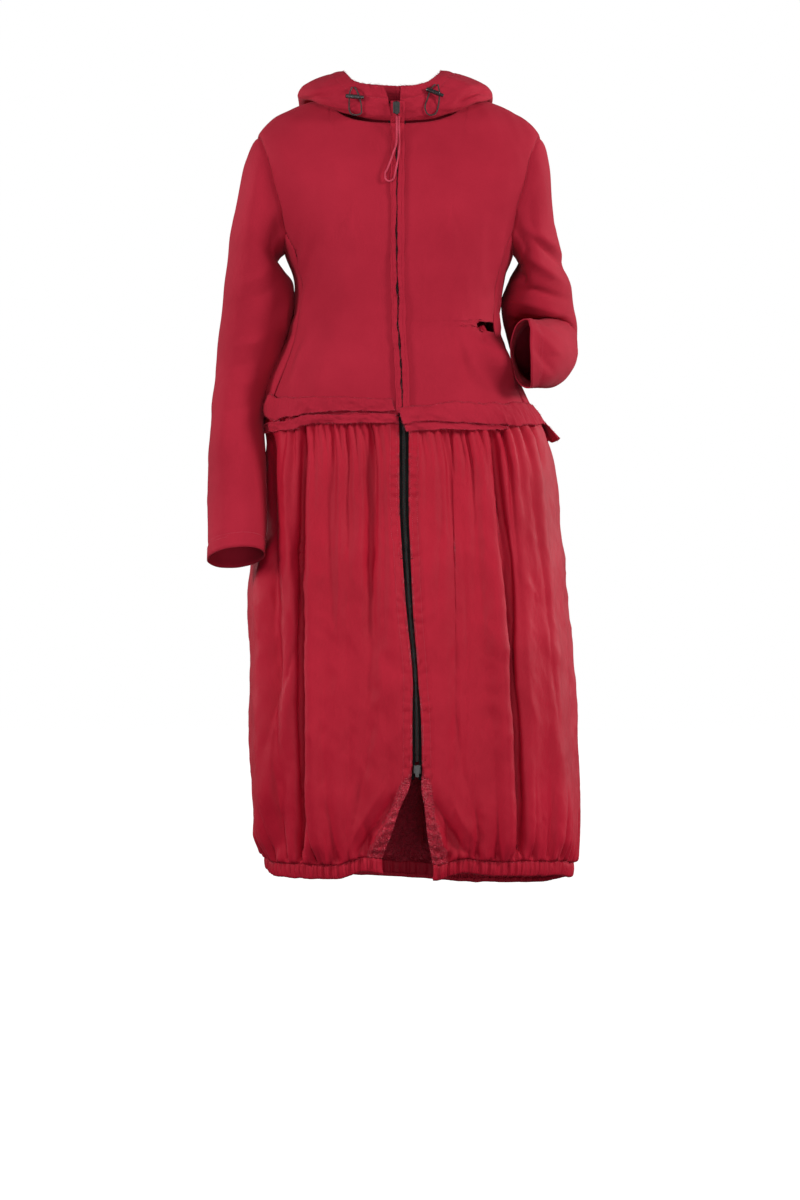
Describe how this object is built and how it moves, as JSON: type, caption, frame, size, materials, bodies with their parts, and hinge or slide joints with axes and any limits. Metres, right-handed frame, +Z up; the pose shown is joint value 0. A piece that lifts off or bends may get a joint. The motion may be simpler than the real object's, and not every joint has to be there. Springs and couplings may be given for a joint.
{
  "type": "hooded jacket dress, worn",
  "caption": "Hooded jacket dress with a smooth jersey bodice, a gathered balloon skirt and a zip down the front, in its worn shape with no wearer.",
  "frame": {"origin": "middle of the base of the neck, between the inner ends of the shoulder seams", "axes": "+Z up, -Y towards the front of the garment, +X towards the wearer's left"},
  "size_m": [0.5096, 0.3907, 1.126],
  "materials": {
    "jersey": "smooth jersey",
    "skirt_cloth": "fine crisp weave",
    "zip_tape": "woven tape",
    "zip_plastic": "dark moulded teeth",
    "zip_metal": "black with a soft shine",
    "lock": "black",
    "cord": "braided elastic",
    "rope": "twisted rope"
  },
  "bodies": {
    "garment": {"bodice_back": "jersey", "bodice_front_left": "jersey", "bodice_front_right": "jersey", "bodice_side_left": "jersey", "bodice_side_right": "jersey", "cord_lock_left": "lock", "cord_lock_right": "lock", "cord_loop_left": "cord", "cord_loop_right": "cord", "hem_casing_back": "skirt_cloth", "hem_casing_front_left": "skirt_cloth", "hem_casing_front_right": "skirt_cloth", "hood_left": "jersey", "hood_right": "jersey", "placket_left": "jersey", "placket_right": "jersey", "pocket_bag_left": "skirt_cloth", "pocket_bag_right": "skirt_cloth", "skirt_back": "skirt_cloth", "skirt_front_left": "skirt_cloth", "skirt_front_right": "skirt_cloth", "sleeve_left": "jersey", "sleeve_right": "jersey", "waist_frill": "jersey", "waist_strip_back": "jersey", "waist_strip_lower_left": "jersey", "waist_strip_lower_right": "jersey", "waist_strip_upper_left": "jersey", "waist_strip_upper_right": "jersey", "zip_chain": "zip_plastic", "zip_slider_bottom": "zip_metal", "zip_slider_top": "zip_metal", "zip_tape_left": "zip_tape", "zip_tape_right": "zip_tape"},
    "top_pull": {"zip_pull_top": "zip_metal", "zip_pull_cord": "rope"},
    "bottom_pull": {"zip_pull_bottom": "zip_metal"}
  },
  "joints": [
    {"name": "top_pull_swing", "type": "hinge", "parent": "garment", "child": "top_pull", "pos_m": [-0.003, -0.08773, -0.0206], "axis": [-1, 0, 0], "range_deg": [0, 100]},
    {"name": "bottom_pull_swing", "type": "hinge", "parent": "garment", "child": "bottom_pull", "pos_m": [0.02459, -0.19406, -0.92435], "axis": [-1, 0, 0], "range_deg": [0, 120]}
  ]
}
